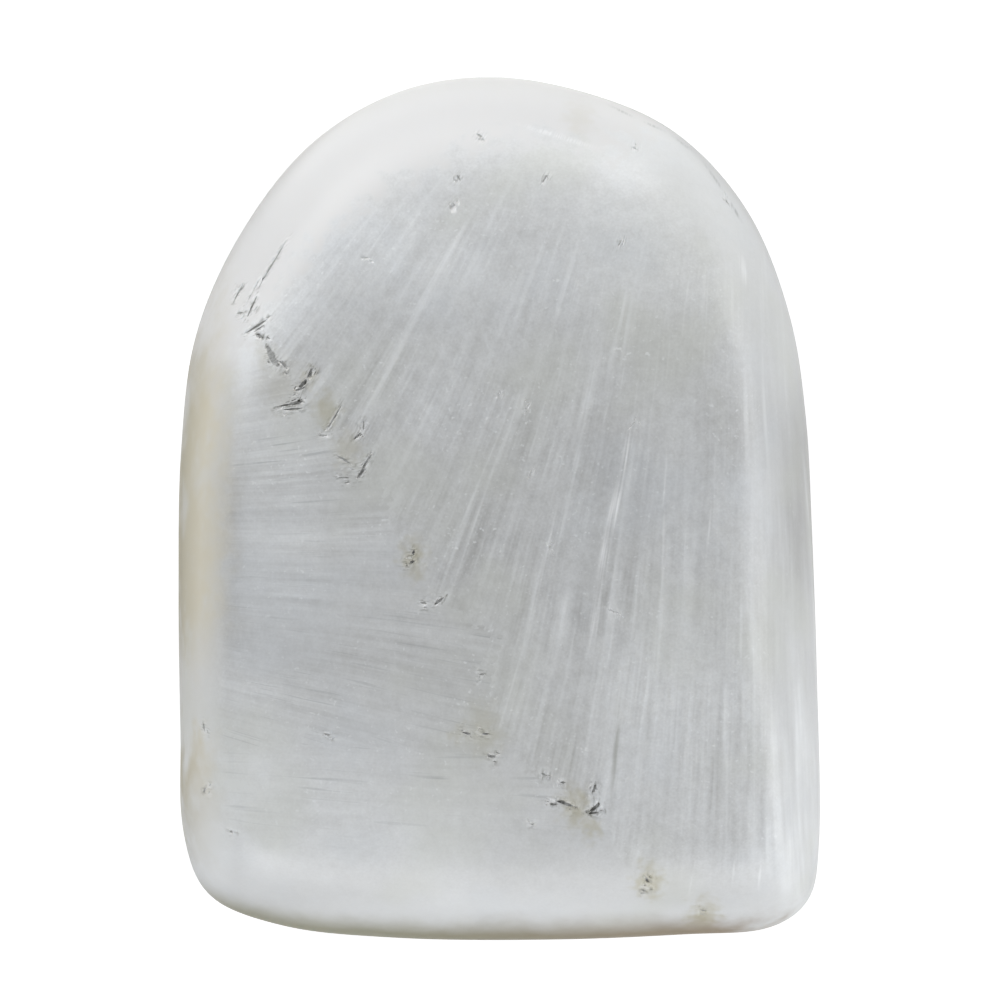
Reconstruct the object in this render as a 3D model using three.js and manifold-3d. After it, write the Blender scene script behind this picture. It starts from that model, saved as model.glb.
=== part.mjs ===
// A scolecite palm stone: one lapped and tumbled lump of fibrous mineral, lying on its flat back.
// Millimetres, +Z up. The arched end points along +Y, the polished face looks up, and the origin is
// under the middle of the stone, on the plane it rests on.

import * as THREE from "three";
import { ParametricGeometry } from "three/addons/geometries/ParametricGeometry.js";
import { mergeVertices } from "three/addons/utils/BufferGeometryUtils.js";
import Module from "manifold-3d";

const wasm = await Module();
wasm.setup();

// ---- Sizes ------------------------------------------------------------------------------------

const THICKNESS = 24; // resting face to the crown of the polished face
const BELT_HEIGHT = 10.5; // where the side stands furthest out
const CROWN_DROP_X = 1.5; // how far the face falls from its crown to the left and right sides
const CROWN_DROP_Y = 3; // and to the two ends
const CROWN_POWER = 2.5; // the middle of the face is flatter than a parabola's
const HALF_WIDTH = 24; // where the falls of the face are reached
const HALF_LENGTH = 32.5;
const BACK_ROLL = 6; // how far the rounding of the back reaches in from the outline
const FACE_SHARPNESS = 2.1; // 2 would be an elliptical rounding, more is squarer
const BACK_SHARPNESS = 2.2;

// The outline seen from above, anticlockwise from the right side, and at each place how far the
// rounding of the polished face reaches in from it: x, y, reach.
const OUTLINE = [
  [23.5, -1.0, 9.0],
  [23.1, 6.5, 9.0],
  [21.9, 14.3, 9.0],
  [18.7, 22.3, 9.0],
  [13.3, 28.2, 11.0],
  [6.6, 31.2, 14.0],
  [-0.5, 32.4, 15.0],
  [-7.4, 31.35, 15.0],
  [-14.1, 27.4, 13.0],
  [-19.4, 20.7, 11.0],
  [-22.8, 13.0, 8.0],
  [-23.9, 4.5, 5.5],
  [-24.1, -6.0, 5.0],
  [-23.95, -17.0, 5.0],
  [-23.75, -24.4, 7.0],
  [-22.0, -29.0, 9.0],
  [-16.5, -31.4, 12.0],
  [-8.0, -32.35, 14.0],
  [4.0, -32.5, 15.0],
  [14.0, -32.1, 14.0],
  [20.6, -31.55, 12.0],
  [23.4, -29.4, 10.0],
  [24.05, -25.4, 9.0],
  [23.9, -12.5, 9.0],
];

// The open gaps between needles that polishing left along the line where the two sprays of
// crystals meet: from x, y to x, y, and the width of the gap.
const GAPS = [
  [-18.3, 16.4, -19.1, 14.4, 0.5],
  [-19.4, 12.6, -17.3, 13.8, 0.7],
  [-17.4, 12.3, -16.6, 10.7, 0.7],
  [-14.0, 10.7, -14.8, 9.2, 0.6],
  [-16.8, 7.5, -14.7, 8.1, 0.6],
  [-9.6, 4.0, -10.7, 2.1, 0.5],
  [-6.9, -4.0, -6.3, -4.0, 0.5],
  [3.8, -22.1, 5.5, -22.4, 0.6],
  [7.4, -20.8, 6.6, -23.1, 0.6],
  [11.1, -27.4, 11.4, -29.0, 0.5],
];
const GAP_DEPTH = 0.6; // a shallow nick, about as deep as it is wide

// ---- The body ---------------------------------------------------------------------------------

const AROUND = 112; // facets round the outline
const BANDS = [
  // how many rows of facets each stretch from the middle of the back to the middle of the face has
  { name: "back", rows: 2 },
  { name: "backRoll", rows: 7 },
  { name: "faceRoll", rows: 14 },
  { name: "face", rows: 8 },
];
const ROWS = BANDS.reduce((sum, band) => sum + band.rows, 0);

const outline = new THREE.CatmullRomCurve3(
  OUTLINE.map(([x, y, reach]) => new THREE.Vector3(x, y, reach)),
  true,
  "centripetal",
);
outline.arcLengthDivisions = 960;

// Which band a share of the way from the back's middle to the face's middle falls in, and how far
// through that band it is.
function bandAt(share) {
  let row = Math.round(share * ROWS);
  let band = 0;
  while (row > BANDS[band].rows) {
    row -= BANDS[band].rows;
    band += 1;
  }
  return { name: BANDS[band].name, through: row / BANDS[band].rows };
}

// The height of the slightly domed face, before its edge is rounded.
function faceHeight(x, y) {
  const across = Math.abs(x / HALF_WIDTH) ** CROWN_POWER;
  const along = Math.abs(y / HALF_LENGTH) ** CROWN_POWER;
  return THICKNESS - CROWN_DROP_X * across - CROWN_DROP_Y * along;
}

// A rounded edge as a quarter of a superellipse: how far in and how far up it has come.
function rolled(through, sharpness) {
  const angle = (through * Math.PI) / 2;
  const power = 2 / sharpness;
  return { inwards: 1 - Math.cos(angle) ** power, up: Math.sin(angle) ** power };
}

function onTheStone(around, share, target) {
  const rim = outline.getPointAt(around % 1);
  const radius = Math.hypot(rim.x, rim.y);
  const { name, through } = bandAt(share);
  const place = (inset, height) => {
    const scale = 1 - inset / radius;
    const x = rim.x * scale;
    const y = rim.y * scale;
    target.set(x, y, height(x, y));
  };
  if (name === "back") place(radius - (radius - BACK_ROLL) * through, () => 0);
  if (name === "backRoll") {
    const { inwards, up } = rolled(1 - through, BACK_SHARPNESS);
    place(BACK_ROLL * inwards, () => BELT_HEIGHT * (1 - up));
  }
  if (name === "faceRoll") {
    const { inwards, up } = rolled(through, FACE_SHARPNESS);
    place(rim.z * inwards, (x, y) => BELT_HEIGHT + (faceHeight(x, y) - BELT_HEIGHT) * up);
  }
  if (name === "face") place(rim.z + (radius - rim.z) * through, faceHeight);
}

// ---- Solids -----------------------------------------------------------------------------------

function solidFrom(geometry) {
  geometry.deleteAttribute("normal");
  geometry.deleteAttribute("uv");
  const merged = mergeVertices(geometry, 1e-3);
  return new wasm.Manifold(
    new wasm.Mesh({
      numProp: 3,
      vertProperties: merged.attributes.position.array,
      triVerts: new Uint32Array(merged.index.array),
    }),
  );
}

function geometryFrom(solid) {
  const { vertProperties, triVerts } = solid.getMesh();
  const geometry = new THREE.BufferGeometry();
  geometry.setAttribute("position", new THREE.BufferAttribute(vertProperties, 3));
  geometry.setIndex(new THREE.BufferAttribute(triVerts, 1));
  geometry.computeVertexNormals();
  return geometry;
}

// The point of the stone's upper side over x, y.
function surfaceOver(body, x, y) {
  const down = new THREE.Vector3(0, 0, -1);
  const ray = new THREE.Raycaster(new THREE.Vector3(x, y, 2 * THICKNESS), down);
  return ray.intersectObject(body)[0].point;
}

// A long double wedge lying in the surface, which cuts one gap between needles.
function gapCutter(body, [x0, y0, x1, y1, width]) {
  const from = surfaceOver(body, x0, y0);
  const to = surfaceOver(body, x1, y1);
  const along = to.clone().sub(from);
  const cutter = new THREE.OctahedronGeometry(1);
  cutter.scale(along.length() / 2, width / 2, GAP_DEPTH);
  const turn = new THREE.Quaternion();
  turn.setFromUnitVectors(new THREE.Vector3(1, 0, 0), along.normalize());
  cutter.applyQuaternion(turn);
  cutter.translate(...from.add(to).multiplyScalar(0.5).toArray());
  return solidFrom(cutter);
}

function makeStone() {
  const material = new THREE.MeshStandardMaterial({
    color: "#d9dbdc",
    roughness: 0.32,
    metalness: 0,
  });
  const blank = new ParametricGeometry(onTheStone, AROUND, ROWS);
  blank.computeBoundingBox();
  const middle = blank.boundingBox.getCenter(new THREE.Vector3());
  blank.translate(-middle.x, -middle.y, 0);
  const body = new THREE.Mesh(blank, material);
  const cutters = GAPS.map((gap) => gapCutter(body, gap));
  const solid = cutters.reduce((rest, cutter) => rest.subtract(cutter), solidFrom(blank.clone()));
  const stone = new THREE.Mesh(geometryFrom(solid), material);
  stone.name = "stone";
  return stone;
}

const palmStone = new THREE.Group();
palmStone.add(makeStone());

export default palmStone;
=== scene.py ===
import math

import bpy
import numpy as np
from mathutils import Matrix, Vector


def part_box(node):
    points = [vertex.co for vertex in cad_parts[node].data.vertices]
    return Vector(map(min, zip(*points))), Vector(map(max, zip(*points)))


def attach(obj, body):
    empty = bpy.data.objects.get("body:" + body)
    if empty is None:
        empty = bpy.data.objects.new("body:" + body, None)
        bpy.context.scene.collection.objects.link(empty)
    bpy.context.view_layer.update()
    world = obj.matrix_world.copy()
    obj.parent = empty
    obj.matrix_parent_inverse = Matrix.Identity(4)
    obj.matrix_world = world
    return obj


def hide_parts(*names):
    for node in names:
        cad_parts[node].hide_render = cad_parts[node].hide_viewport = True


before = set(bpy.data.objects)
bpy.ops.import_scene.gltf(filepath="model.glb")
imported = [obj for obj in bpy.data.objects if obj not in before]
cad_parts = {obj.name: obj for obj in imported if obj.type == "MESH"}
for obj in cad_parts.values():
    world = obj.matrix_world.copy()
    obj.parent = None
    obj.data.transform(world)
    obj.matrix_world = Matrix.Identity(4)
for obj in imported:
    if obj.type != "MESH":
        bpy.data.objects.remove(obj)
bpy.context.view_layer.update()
MM = 0.001


# ---- Camera -------------------------------------------------------------------------------------
# The stone lies on its back and is seen from straight above, through a long lens, so that its sides
# fall away evenly all round.

stone_low, stone_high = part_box("stone")
BELT_SHARE = 0.4375  # of the thickness: the height where the side stands furthest out
belt_z = BELT_SHARE * stone_high.z
FRAME_SHARE = 1.1592  # how much wider than the stone is long the view is, at the belt's height
FRAME_MIDDLE = (0.05 * MM, 0.64 * MM)  # what the camera stands over

camera_data = bpy.data.cameras.new("camera")
camera_data.sensor_width = 36
camera_data.lens = 300
camera = bpy.data.objects.new("camera", camera_data)
frame_width = FRAME_SHARE * (stone_high.y - stone_low.y)
camera_distance = frame_width * camera_data.lens / camera_data.sensor_width
camera.location = (*FRAME_MIDDLE, belt_z + camera_distance)
bpy.context.collection.objects.link(camera)
bpy.context.scene.camera = camera


# ---- Studio -------------------------------------------------------------------------------------
# An opal table top in a pale room. A wide softbox stands low beyond the arched end, smaller ones
# stand round the stone, and light panels are let into the table.

TABLE_HALF = 1.5
TABLE_GLOW = 0.54  # seen, but it sends no light up on to the stone
ROOM_LIGHT = 0.45  # of white, from all round
ROOM_SEEN = 0.95  # how pale the room's walls look
SOFTBOX_DISTANCE = 0.45

# name: which way round from +X and how high it stands, in degrees, its width and height in m, and
# its brightness
SOFTBOXES = {
    "beyond_the_arched_end": (105, 12, 0.85, 0.19, 3.2),
    "arched_end_left": (140, 20, 0.45, 0.24, 1.0),
    "right": (0, 8, 0.45, 0.13, 3.0),
    "beyond_the_straight_end": (275, 7, 0.50, 0.12, 3.2),
    "straight_end_right": (315, 12, 0.40, 0.19, 1.1),
    "over_the_straight_end": (270, 62, 0.40, 0.24, 1.0),
}

# light panels let into the table: middle x and y, width and length in m, and brightness
PANELS = {
    "panel_at_the_arched_end": (0, 0.184, 0.40, 0.30, 0.48),
    "panel_at_the_right": (0.146, 0, 0.24, 0.07, 0.05),
}
PANEL_RISE = 0.8 * MM  # clear of the table top


def linear(code):
    """An sRGB hex colour as linear RGBA."""
    parts = [int(code[i : i + 2], 16) / 255 for i in (1, 3, 5)]
    return (*[c / 12.92 if c <= 0.04045 else ((c + 0.055) / 1.055) ** 2.4 for c in parts], 1)


# A Map Range takes its input 0 from the range 1 to 2 to the range 3 to 4. A Mix goes by its share 0
# from 2 to 3 with numbers, from 4 to 5 with vectors and from 6 to 7 with colours.
SMOOTH = {"interpolation_type": "SMOOTHSTEP"}  # for a Map Range that eases in and out


def add(tree, kind, links=(), **settings):
    """Adds a node with its settings, and links or sets its inputs by name or number."""
    node = tree.nodes.new(kind)
    for name, value in settings.items():
        setattr(node, name, value)
    for socket, value in dict(links).items():
        if isinstance(value, bpy.types.Node):
            value = value.outputs[0]
        if isinstance(value, bpy.types.NodeSocket):
            tree.links.new(value, node.inputs[socket])
        else:
            node.inputs[socket].default_value = value
    return node


table_mesh = bpy.data.meshes.new("table")
corners = [(-1, -1), (1, -1), (1, 1), (-1, 1)]
corners = [(TABLE_HALF * x, TABLE_HALF * y, 0) for x, y in corners]
table_mesh.from_pydata(corners, [], [(0, 1, 2, 3)])
table = bpy.data.objects.new("table", table_mesh)
bpy.context.collection.objects.link(table)
# Cast opal acrylic with a matt face: an even white with no gloss.
opal = bpy.data.materials.new("opal acrylic sheet, matt")
opal.use_nodes = True
acrylic = opal.node_tree.nodes["Principled BSDF"]
acrylic.inputs["Base Color"].default_value = linear("#e7e7e7")
acrylic.inputs["Roughness"].default_value = 0.9
acrylic.inputs["Specular IOR Level"].default_value = 0.1
acrylic.inputs["Emission Color"].default_value = linear("#ffffff")
eye = add(opal.node_tree, "ShaderNodeLightPath")
glow_seen = {0: eye.outputs["Is Camera Ray"], 1: TABLE_GLOW}
glow_seen = add(opal.node_tree, "ShaderNodeMath", glow_seen, operation="MULTIPLY")
opal.node_tree.links.new(glow_seen.outputs[0], acrylic.inputs["Emission Strength"])
table_mesh.materials.append(opal)

# where each light is, how it is turned, its two sizes and its brightness
lights = {}
for name, (bearing, elevation, *look) in SOFTBOXES.items():
    around, up = math.radians(bearing), math.radians(elevation)
    flat, rise = SOFTBOX_DISTANCE * math.cos(up), SOFTBOX_DISTANCE * math.sin(up)
    place = (flat * math.cos(around), flat * math.sin(around), rise + belt_z)
    lights[name] = (place, (math.pi / 2 - up, 0, around + math.pi / 2), look)
for name, (x, y, *look) in PANELS.items():
    lights[name] = ((x, y, PANEL_RISE), (math.pi, 0, 0), look)
for name, (place, turn, (width, height, brightness)) in lights.items():
    light = bpy.data.lights.new(name, "AREA")
    light.shape = "RECTANGLE"
    light.size = width
    light.size_y = height
    light.energy = brightness * math.pi * width * height
    lamp = bpy.data.objects.new(name, light)
    lamp.location = place
    lamp.rotation_euler = turn
    lamp.visible_camera = False
    bpy.context.collection.objects.link(lamp)

room = bpy.data.worlds.new("pale room")
room.use_nodes = True
eye = add(room.node_tree, "ShaderNodeLightPath")
walls = {0: eye.outputs["Is Camera Ray"], 1: ROOM_SEEN - ROOM_LIGHT, 2: ROOM_LIGHT}
walls = add(room.node_tree, "ShaderNodeMath", walls, operation="MULTIPLY_ADD")
air = room.node_tree.nodes["Background"]
air.inputs["Color"].default_value = linear("#ffffff")
room.node_tree.links.new(walls.outputs[0], air.inputs["Strength"])
bpy.context.scene.world = room
bpy.context.scene.view_settings.view_transform = "Standard"


# ---- Stone --------------------------------------------------------------------------------------
# One lump of scolecite, a white zeolite that grows as sprays of needles. It was sawn, lapped to an
# arch with rounded ends and a flat back, and tumbled to a silky polish.

# The outline from above, anticlockwise from the right: x, y, reach of the face's rounding, in mm
OUTLINE = [
    (23.5, -1.0, 9), (23.1, 6.5, 9), (21.9, 14.3, 9), (18.7, 22.3, 9), (13.3, 28.2, 11),
    (6.6, 31.2, 14), (-0.5, 32.4, 15), (-7.4, 31.35, 15), (-14.1, 27.4, 13), (-19.4, 20.7, 11),
    (-22.8, 13.0, 8), (-23.9, 4.5, 5.5), (-24.1, -6.0, 5), (-23.95, -17.0, 5), (-23.75, -24.4, 7),
    (-22.0, -29.0, 9), (-16.5, -31.4, 12), (-8.0, -32.35, 14), (4.0, -32.5, 15), (14.0, -32.1, 14),
    (20.6, -31.55, 12), (23.4, -29.4, 10), (24.05, -25.4, 9), (23.9, -12.5, 9),
]
STEPS_PER_STRETCH = 40  # from one station to the next
OUTLINE_SOFTNESS = 0.8 * MM  # tumbling leaves no kinks in plan finer than this


def outline_points():
    """The closed centripetal curve through the outline's stations, evenly spaced and softened."""
    stations = np.array(OUTLINE) * MM
    count = len(stations)
    curve = []
    for i in range(count):
        before, start, end, after = (stations[(i + k) % count] for k in (-1, 0, 1, 2))
        pairs = (before, start), (start, end), (end, after)
        gaps = [np.linalg.norm(b - a) ** 0.5 for a, b in pairs]
        leave = (start - before) / gaps[0] - (end - before) / (gaps[0] + gaps[1])
        leave = (leave + (end - start) / gaps[1]) * gaps[1]
        arrive = (end - start) / gaps[1] - (after - start) / (gaps[1] + gaps[2])
        arrive = (arrive + (after - end) / gaps[2]) * gaps[1]
        for t in np.arange(STEPS_PER_STRETCH) / STEPS_PER_STRETCH:
            square = (-3 * start + 3 * end - 2 * leave - arrive) * t**2
            cube = (2 * start - 2 * end + leave + arrive) * t**3
            curve.append(start + leave * t + square + cube)
    curve = np.array(curve)
    steps = np.linalg.norm(np.diff(curve[:, :2], axis=0, append=curve[:1, :2]), axis=1)
    along = np.concatenate([[0], np.cumsum(steps)])
    spots = np.linspace(0, along[-1], len(curve), endpoint=False)
    closed = np.vstack([curve, curve[:1]])
    even = np.stack([np.interp(spots, along, closed[:, k]) for k in range(3)], axis=1)
    waves = np.fft.fftfreq(len(even), along[-1] / len(even))
    softening = np.exp(-2 * (math.pi * waves * OUTLINE_SOFTNESS) ** 2)
    soft = np.fft.ifft(np.fft.fft(even, axis=0) * softening[:, None], axis=0).real
    soft[:, :2] -= (soft[:, :2].max(axis=0) + soft[:, :2].min(axis=0)) / 2
    solid_size = np.array(stone_high - stone_low)[:2]
    soft[:, :2] *= solid_size / (soft[:, :2].max(axis=0) - soft[:, :2].min(axis=0))
    return soft


loop = outline_points()
loop_mesh = bpy.data.meshes.new("polished_stone")
loop_edges = [(i, (i + 1) % len(loop)) for i in range(len(loop))]
loop_mesh.from_pydata([(x, y, 0) for x, y, _ in loop], loop_edges, [])
reach = loop_mesh.attributes.new("reach", "FLOAT", "POINT")
reach.data.foreach_set("value", loop[:, 2].copy())
stone = bpy.data.objects.new("polished_stone", loop_mesh)
bpy.context.collection.objects.link(stone)

# The lapped form: a sheet of facets, u round the outline and v from the middle of the back, over
# the edges, to the middle of the face, wrapped on to the outline and closed.
FORM = {
    "Thickness": stone_high.z,
    "Belt height": belt_z,
    "Fall of the face across": 1.5 * MM,
    "Fall of the face along": 3 * MM,
    "Power of the falls": 2.5,
    "Half width": 24 * MM,
    "Half length": 32.5 * MM,
    "Reach of the back's rounding": 6 * MM,
    "Sharpness of the face's rounding": 2.1,
    "Sharpness of the back's rounding": 2.2,
}
BACK_END, BELT, ROLL_END = 0.10, 0.24, 0.60  # where on v the bands of rows end
AROUND, ROWS = 480, 124  # facets round the outline, and from middle to middle

form = bpy.data.node_groups.new("lapped form", "GeometryNodeTree")
form.interface.new_socket("Geometry", in_out="INPUT", socket_type="NodeSocketGeometry")
form.interface.new_socket("Finish", in_out="INPUT", socket_type="NodeSocketMaterial")
form.interface.new_socket("Geometry", in_out="OUTPUT", socket_type="NodeSocketGeometry")
for name in FORM:
    form.interface.new_socket(name, in_out="INPUT", socket_type="NodeSocketFloat")
given = form.nodes.new("NodeGroupInput").outputs

sheet = {"Size X": 1, "Size Y": 1, "Vertices X": AROUND + 1, "Vertices Y": ROWS + 1}
sheet = add(form, "GeometryNodeMeshGrid", sheet)
on_sheet = add(form, "ShaderNodeSeparateXYZ", {0: add(form, "GeometryNodeInputPosition")}).outputs
u = add(form, "ShaderNodeMath", {0: on_sheet["X"], 1: 0.5}, operation="ADD")
v = add(form, "ShaderNodeMath", {0: on_sheet["Y"], 1: 0.5}, operation="ADD")
curve = add(form, "GeometryNodeMeshToCurve", {"Mesh": given["Geometry"]})
reach_here = add(form, "GeometryNodeInputNamedAttribute", {"Name": "reach"}, data_type="FLOAT")
rim = {"Curves": curve, "Value": reach_here, "Factor": u}
rim = add(form, "GeometryNodeSampleCurve", rim, mode="FACTOR").outputs
radius = add(form, "ShaderNodeVectorMath", {0: rim["Position"]}, operation="LENGTH")
radius = radius.outputs["Value"]

# how far v has come through each band, held at 0 before it and at 1 after it
bands = {"back": (0, BACK_END), "back_roll": (BACK_END, BELT), "face_roll": (BELT, ROLL_END)}
bands["face"] = (ROLL_END, 1)
through = {}
for name, (first, last) in bands.items():
    through[name] = add(form, "ShaderNodeMapRange", {0: v, 1: first, 2: last}, clamp=True)


def rolled(share, sharpness):
    """A quarter of a superellipse: how far inwards and how far up the rounding has come."""
    angle = add(form, "ShaderNodeMath", {0: share, 1: math.pi / 2}, operation="MULTIPLY")
    power = add(form, "ShaderNodeMath", {0: 2, 1: sharpness}, operation="DIVIDE")
    left = add(form, "ShaderNodeMath", {0: angle}, operation="COSINE")
    left = add(form, "ShaderNodeMath", {0: left, 1: power}, operation="POWER")
    up = add(form, "ShaderNodeMath", {0: angle}, operation="SINE")
    up = add(form, "ShaderNodeMath", {0: up, 1: power}, operation="POWER")
    return add(form, "ShaderNodeMath", {0: 1, 1: left}, operation="SUBTRACT"), up


still_back = add(form, "ShaderNodeMath", {0: 1, 1: through["back_roll"]}, operation="SUBTRACT")
back_in, back_up = rolled(still_back, given["Sharpness of the back's rounding"])
face_in, face_up = rolled(through["face_roll"], given["Sharpness of the face's rounding"])

# the inset from the outline: the back's flat, the back's rounding, the face's rounding, the face
back_reach, face_reach = given["Reach of the back's rounding"], rim["Value"]
inset = add(form, "ShaderNodeMath", {0: back_reach, 1: back_in}, operation="MULTIPLY")
inset = {0: face_reach, 1: face_in, 2: inset}
inset = add(form, "ShaderNodeMath", inset, operation="MULTIPLY_ADD")
still_flat = add(form, "ShaderNodeMath", {0: 1, 1: through["back"]}, operation="SUBTRACT")
for share, taken in ((still_flat, back_reach), (through["face"], face_reach)):
    inner = add(form, "ShaderNodeMath", {0: radius, 1: taken}, operation="SUBTRACT")
    inset = {0: share, 1: inner, 2: inset}
    inset = add(form, "ShaderNodeMath", inset, operation="MULTIPLY_ADD")
shrink = add(form, "ShaderNodeMath", {0: inset, 1: radius}, operation="DIVIDE")
shrink = add(form, "ShaderNodeMath", {0: 1, 1: shrink}, operation="SUBTRACT")
flat_place = {0: rim["Position"], "Scale": shrink}
flat_place = add(form, "ShaderNodeVectorMath", flat_place, operation="SCALE")
at = add(form, "ShaderNodeSeparateXYZ", {0: flat_place}).outputs

# the height: the domed face, brought down to the belt by its rounding, and the back's rounding
face_height = given["Thickness"]
for axis, half, fall in (("X", "Half width", "across"), ("Y", "Half length", "along")):
    out = add(form, "ShaderNodeMath", {0: at[axis], 1: given[half]}, operation="DIVIDE")
    out = add(form, "ShaderNodeMath", {0: out}, operation="ABSOLUTE")
    out = add(form, "ShaderNodeMath", {0: out, 1: given["Power of the falls"]}, operation="POWER")
    out = {0: out, 1: given["Fall of the face " + fall]}
    out = add(form, "ShaderNodeMath", out, operation="MULTIPLY")
    face_height = add(form, "ShaderNodeMath", {0: face_height, 1: out}, operation="SUBTRACT")
belt = given["Belt height"]
above = add(form, "ShaderNodeMath", {0: face_height, 1: belt}, operation="SUBTRACT")
below = add(form, "ShaderNodeMath", {0: 1, 1: back_up}, operation="SUBTRACT")
height = add(form, "ShaderNodeMath", {0: belt, 1: below}, operation="MULTIPLY")
height = {0: above, 1: face_up, 2: height}
height = add(form, "ShaderNodeMath", height, operation="MULTIPLY_ADD")
wrapped = add(form, "ShaderNodeCombineXYZ", {"X": at["X"], "Y": at["Y"], "Z": height})
skin = add(form, "GeometryNodeSetPosition", {"Geometry": sheet, "Position": wrapped})
skin = add(form, "GeometryNodeMergeByDistance", {"Geometry": skin, "Distance": 0.002 * MM})
skin = add(form, "GeometryNodeSetShadeSmooth", {"Geometry": skin, "Shade Smooth": True})
skin = add(form, "GeometryNodeRealizeInstances", {"Geometry": skin})
skin = add(form, "GeometryNodeSetMaterial", {"Geometry": skin, "Material": given["Finish"]})
add(form, "NodeGroupOutput", {"Geometry": skin})

# Where sprays of needles meet they tear out under the lap, and leave slivers of gaps. Each runs
# from x, y to x, y in mm, and has a width in mm and its share of dirt and painted shade, none in a
# fresh white chip.
GAPS = [
    (-15.9, 19.9, -18.0, 15.9, 0.10, 0.45), (-18.0, 15.8, -18.6, 14.2, 0.20, 0.60),
    (-19.1, 16.6, -19.7, 15.4, 0.18, 0.50), (-19.4, 14.5, -19.0, 14.5, 0.14, 0.45),
    (-18.9, 13.0, -17.1, 13.9, 0.22, 0.60), (-17.9, 12.9, -17.5, 12.6, 0.30, 0.75),
    (-17.1, 11.9, -16.4, 10.6, 0.42, 0.40), (-16.8, 11.0, -16.5, 10.7, 0.35, 0.60),
    (-16.0, 10.8, -15.7, 10.4, 0.25, 0.45), (-13.8, 10.3, -14.1, 9.7, 0.22, 0.85),
    (-14.3, 9.4, -14.7, 8.9, 0.30, 0.85), (-15.0, 8.7, -14.4, 8.9, 0.18, 0.60),
    (-16.4, 7.5, -14.6, 7.9, 0.14, 0.85), (-15.2, 7.7, -14.6, 7.9, 0.24, 1.00),
    (-15.8, 7.3, -14.6, 7.4, 0.14, 0.65), (-12.6, 6.0, -11.7, 7.5, 0.13, 0.55),
    (-13.2, 5.4, -12.8, 5.4, 0.16, 0.40), (-10.6, 5.2, -10.3, 5.5, 0.20, 0.60),
    (-10.0, 6.4, -10.0, 5.9, 0.14, 0.50), (-9.5, 3.9, -10.1, 2.9, 0.20, 0.45),
    (-10.0, 2.9, -10.4, 2.3, 0.26, 0.60), (-11.8, 2.3, -11.2, 2.3, 0.14, 0.50),
    (-11.7, 3.8, -11.0, 3.3, 0.18, 0.35), (-6.47, -3.93, -6.36, -3.9, 0.24, 1.00),
    (-6.35, -3.3, -6.3, -3.1, 0.18, 0.70), (-5.8, -6.9, -5.4, -7.0, 0.16, 0.50),
    (-4.7, -7.0, -4.2, -6.6, 0.22, 0.60), (-1.4, -12.2, -1.2, -12.2, 0.16, 0.50),
    (-2.6, -16.5, -2.2, -16.6, 0.16, 0.60), (-1.2, -16.6, -0.9, -16.6, 0.16, 0.60),
    (-0.8, -18.2, -0.4, -18.3, 0.24, 0.50), (3.1, -19.5, 3.5, -19.7, 0.16, 0.45),
    (4.6, -20.2, 4.8, -20.2, 0.18, 0.60), (4.4, -21.6, 5.3, -21.9, 0.26, 0.80),
    (3.8, -21.8, 4.2, -21.8, 0.22, 0.65), (6.9, -20.9, 7.1, -20.4, 0.20, 0.70),
    (7.3, -21.8, 6.9, -22.3, 0.26, 0.80), (6.7, -22.5, 7.2, -22.4, 0.20, 0.75),
    (2.4, -23.3, 2.5, -23.3, 0.14, 0.35), (10.9, -27.4, 11.0, -27.7, 0.20, 0.70),
    (10.6, -28.3, 10.8, -28.4, 0.14, 0.45), (15.1, -29.9, 15.3, -30.0, 0.16, 0.35),
    (-21.9, -16.0, -21.8, -16.4, 0.22, 0.45), (-22.0, -21.0, -21.7, -20.7, 0.16, 0.40),
    (-19.9, -23.9, -19.8, -23.9, 0.16, 0.40), (-12.9, -16.6, -12.5, -16.7, 0.14, 0.40),
    (-3.1, 24.6, -2.9, 24.3, 0.16, 0.45), (-1.6, 27.8, -1.4, 27.6, 0.18, 0.35),
    (3.2, 24.1, 3.5, 24.7, 0.12, 0.50), (8.8, 19.4, 9.0, 19.8, 0.10, 0.35),
    (10.0, 26.8, 10.2, 26.7, 0.12, 0.25), (16.9, 22.9, 17.1, 22.7, 0.14, 0.45),
    (-0.2, 8.3, 0.0, 8.6, 0.12, 0.0), (1.9, 7.3, 2.2, 7.7, 0.12, 0.0),
    (9.6, 6.0, 9.9, 6.3, 0.12, 0.0), (-10.0, 18.5, -9.7, 18.5, 0.14, 0.0),
    (-3.6, 22.1, -3.3, 22.4, 0.12, 0.0), (3.7, -2.8, 3.8, -2.9, 0.16, 0.0),
    (8.0, -7.4, 8.8, -7.7, 0.10, 0.0), (2.2, 2.4, 2.4, 2.9, 0.10, 0.0),
]

gaps = np.array(GAPS)
starts, ends = gaps[:, 0:2] * MM, gaps[:, 2:4] * MM
gap_mesh = bpy.data.meshes.new("gaps between needles")
over_stone = 2 * stone_high.z
gap_mesh.from_pydata([(x, y, over_stone) for x, y in (starts + ends) / 2], [], [])
facts = {
    "turn": np.arctan2(ends[:, 1] - starts[:, 1], ends[:, 0] - starts[:, 0]),
    "length": np.linalg.norm(ends - starts, axis=1) + gaps[:, 4] * MM,
    "width": gaps[:, 4] * MM,
    "dirt": gaps[:, 5],
}
for name, values in facts.items():
    fact = gap_mesh.attributes.new(name, "FLOAT", "POINT")
    fact.data.foreach_set("value", values.astype(np.float32))
gap_points = bpy.data.objects.new("gaps between needles", gap_mesh)

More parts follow.
